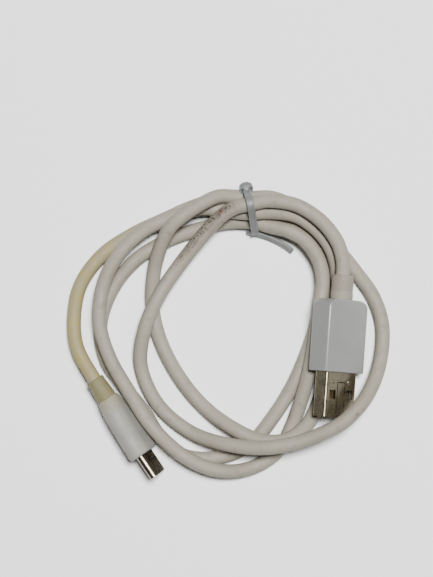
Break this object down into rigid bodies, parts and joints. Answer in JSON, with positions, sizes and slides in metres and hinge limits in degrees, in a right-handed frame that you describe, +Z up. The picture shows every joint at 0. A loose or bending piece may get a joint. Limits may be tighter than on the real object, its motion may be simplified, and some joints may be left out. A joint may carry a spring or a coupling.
{
  "type": "charging cable",
  "caption": "Slim white charging cable with a USB-A plug and a USB-C plug, wound in a loose flat coil and held by a cable tie.",
  "frame": {"origin": "middle of the bounding box at the surface that the coil lies on", "axes": "+Z up from that surface, +Y towards the cable tie, +X towards the USB-A plug"},
  "size_m": [0.09, 0.082, 0.0161],
  "materials": {
    "cord_jacket": "soft matt jacket, slightly soiled",
    "wire_red": "satin insulation",
    "wire_black": "satin insulation",
    "wire_green": "satin insulation",
    "wire_white": "satin insulation",
    "usb_a_cover": "hard white plastic, satin",
    "usb_a_relief": "soft white, worn",
    "usb_a_steel": "plated, dulled",
    "usb_a_tongue": "moulded, black",
    "contact_gold": "plated contact",
    "inner_plastic": "low pressure moulding",
    "crimp_steel": "plain",
    "usb_c_overmould": "soft white, slightly soiled",
    "usb_c_collar": "soft white gone yellow",
    "usb_c_steel": "plated, dulled",
    "usb_c_lining": "moulded",
    "spring_steel": "bright",
    "board_green": "solder mask",
    "resistor_black": "ceramic",
    "tie_nylon": "milky nylon"
  },
  "bodies": {
    "cable": {"cord_jacket": "cord_jacket", "wire_power": "wire_red", "wire_ground": "wire_black", "wire_data_plus": "wire_green", "wire_data_minus": "wire_white", "usb_a_cover": "usb_a_cover", "usb_a_strain_relief": "usb_a_relief", "usb_a_shell": "usb_a_steel", "usb_a_tongue": "usb_a_tongue", "usb_a_contacts": "contact_gold", "usb_a_inner_mould": "inner_plastic", "usb_a_crimp": "crimp_steel", "usb_c_overmould": "usb_c_overmould", "usb_c_strain_relief": "usb_c_collar", "usb_c_shell": "usb_c_steel", "usb_c_insulator": "usb_c_lining", "usb_c_contacts_upper": "contact_gold", "usb_c_contacts_lower": "contact_gold", "usb_c_mid_plate": "spring_steel", "usb_c_circuit_board": "board_green", "usb_c_resistor": "resistor_black", "usb_c_crimp": "crimp_steel", "tie_strap": "tie_nylon", "tie_head": "tie_nylon"},
    "usb_c_latch_left": {"usb_c_latch_left": "spring_steel"},
    "usb_c_latch_right": {"usb_c_latch_right": "spring_steel"},
    "tie_pawl": {"tie_pawl": "tie_nylon"}
  },
  "joints": [
    {"name": "latch_left_flex", "type": "hinge", "parent": "cable", "child": "usb_c_latch_left", "pos_m": [-0.02397, -0.03474, 0.00871], "axis": [0.779, 0.5255, 0.342], "range_deg": [-3, 0], "stiffness_Nm_per_rad": 0.02},
    {"name": "latch_right_flex", "type": "hinge", "parent": "cable", "child": "usb_c_latch_right", "pos_m": [-0.02218, -0.03354, 0.00279], "axis": [0.779, 0.5255, 0.342], "range_deg": [0, 3], "stiffness_Nm_per_rad": 0.02},
    {"name": "tie_pawl_flex", "type": "hinge", "parent": "cable", "child": "tie_pawl", "pos_m": [0.00467, 0.04026, 0.0085], "axis": [0.9781, 0.2079, 0], "range_deg": [0, 5], "stiffness_Nm_per_rad": 0.01}
  ]
}
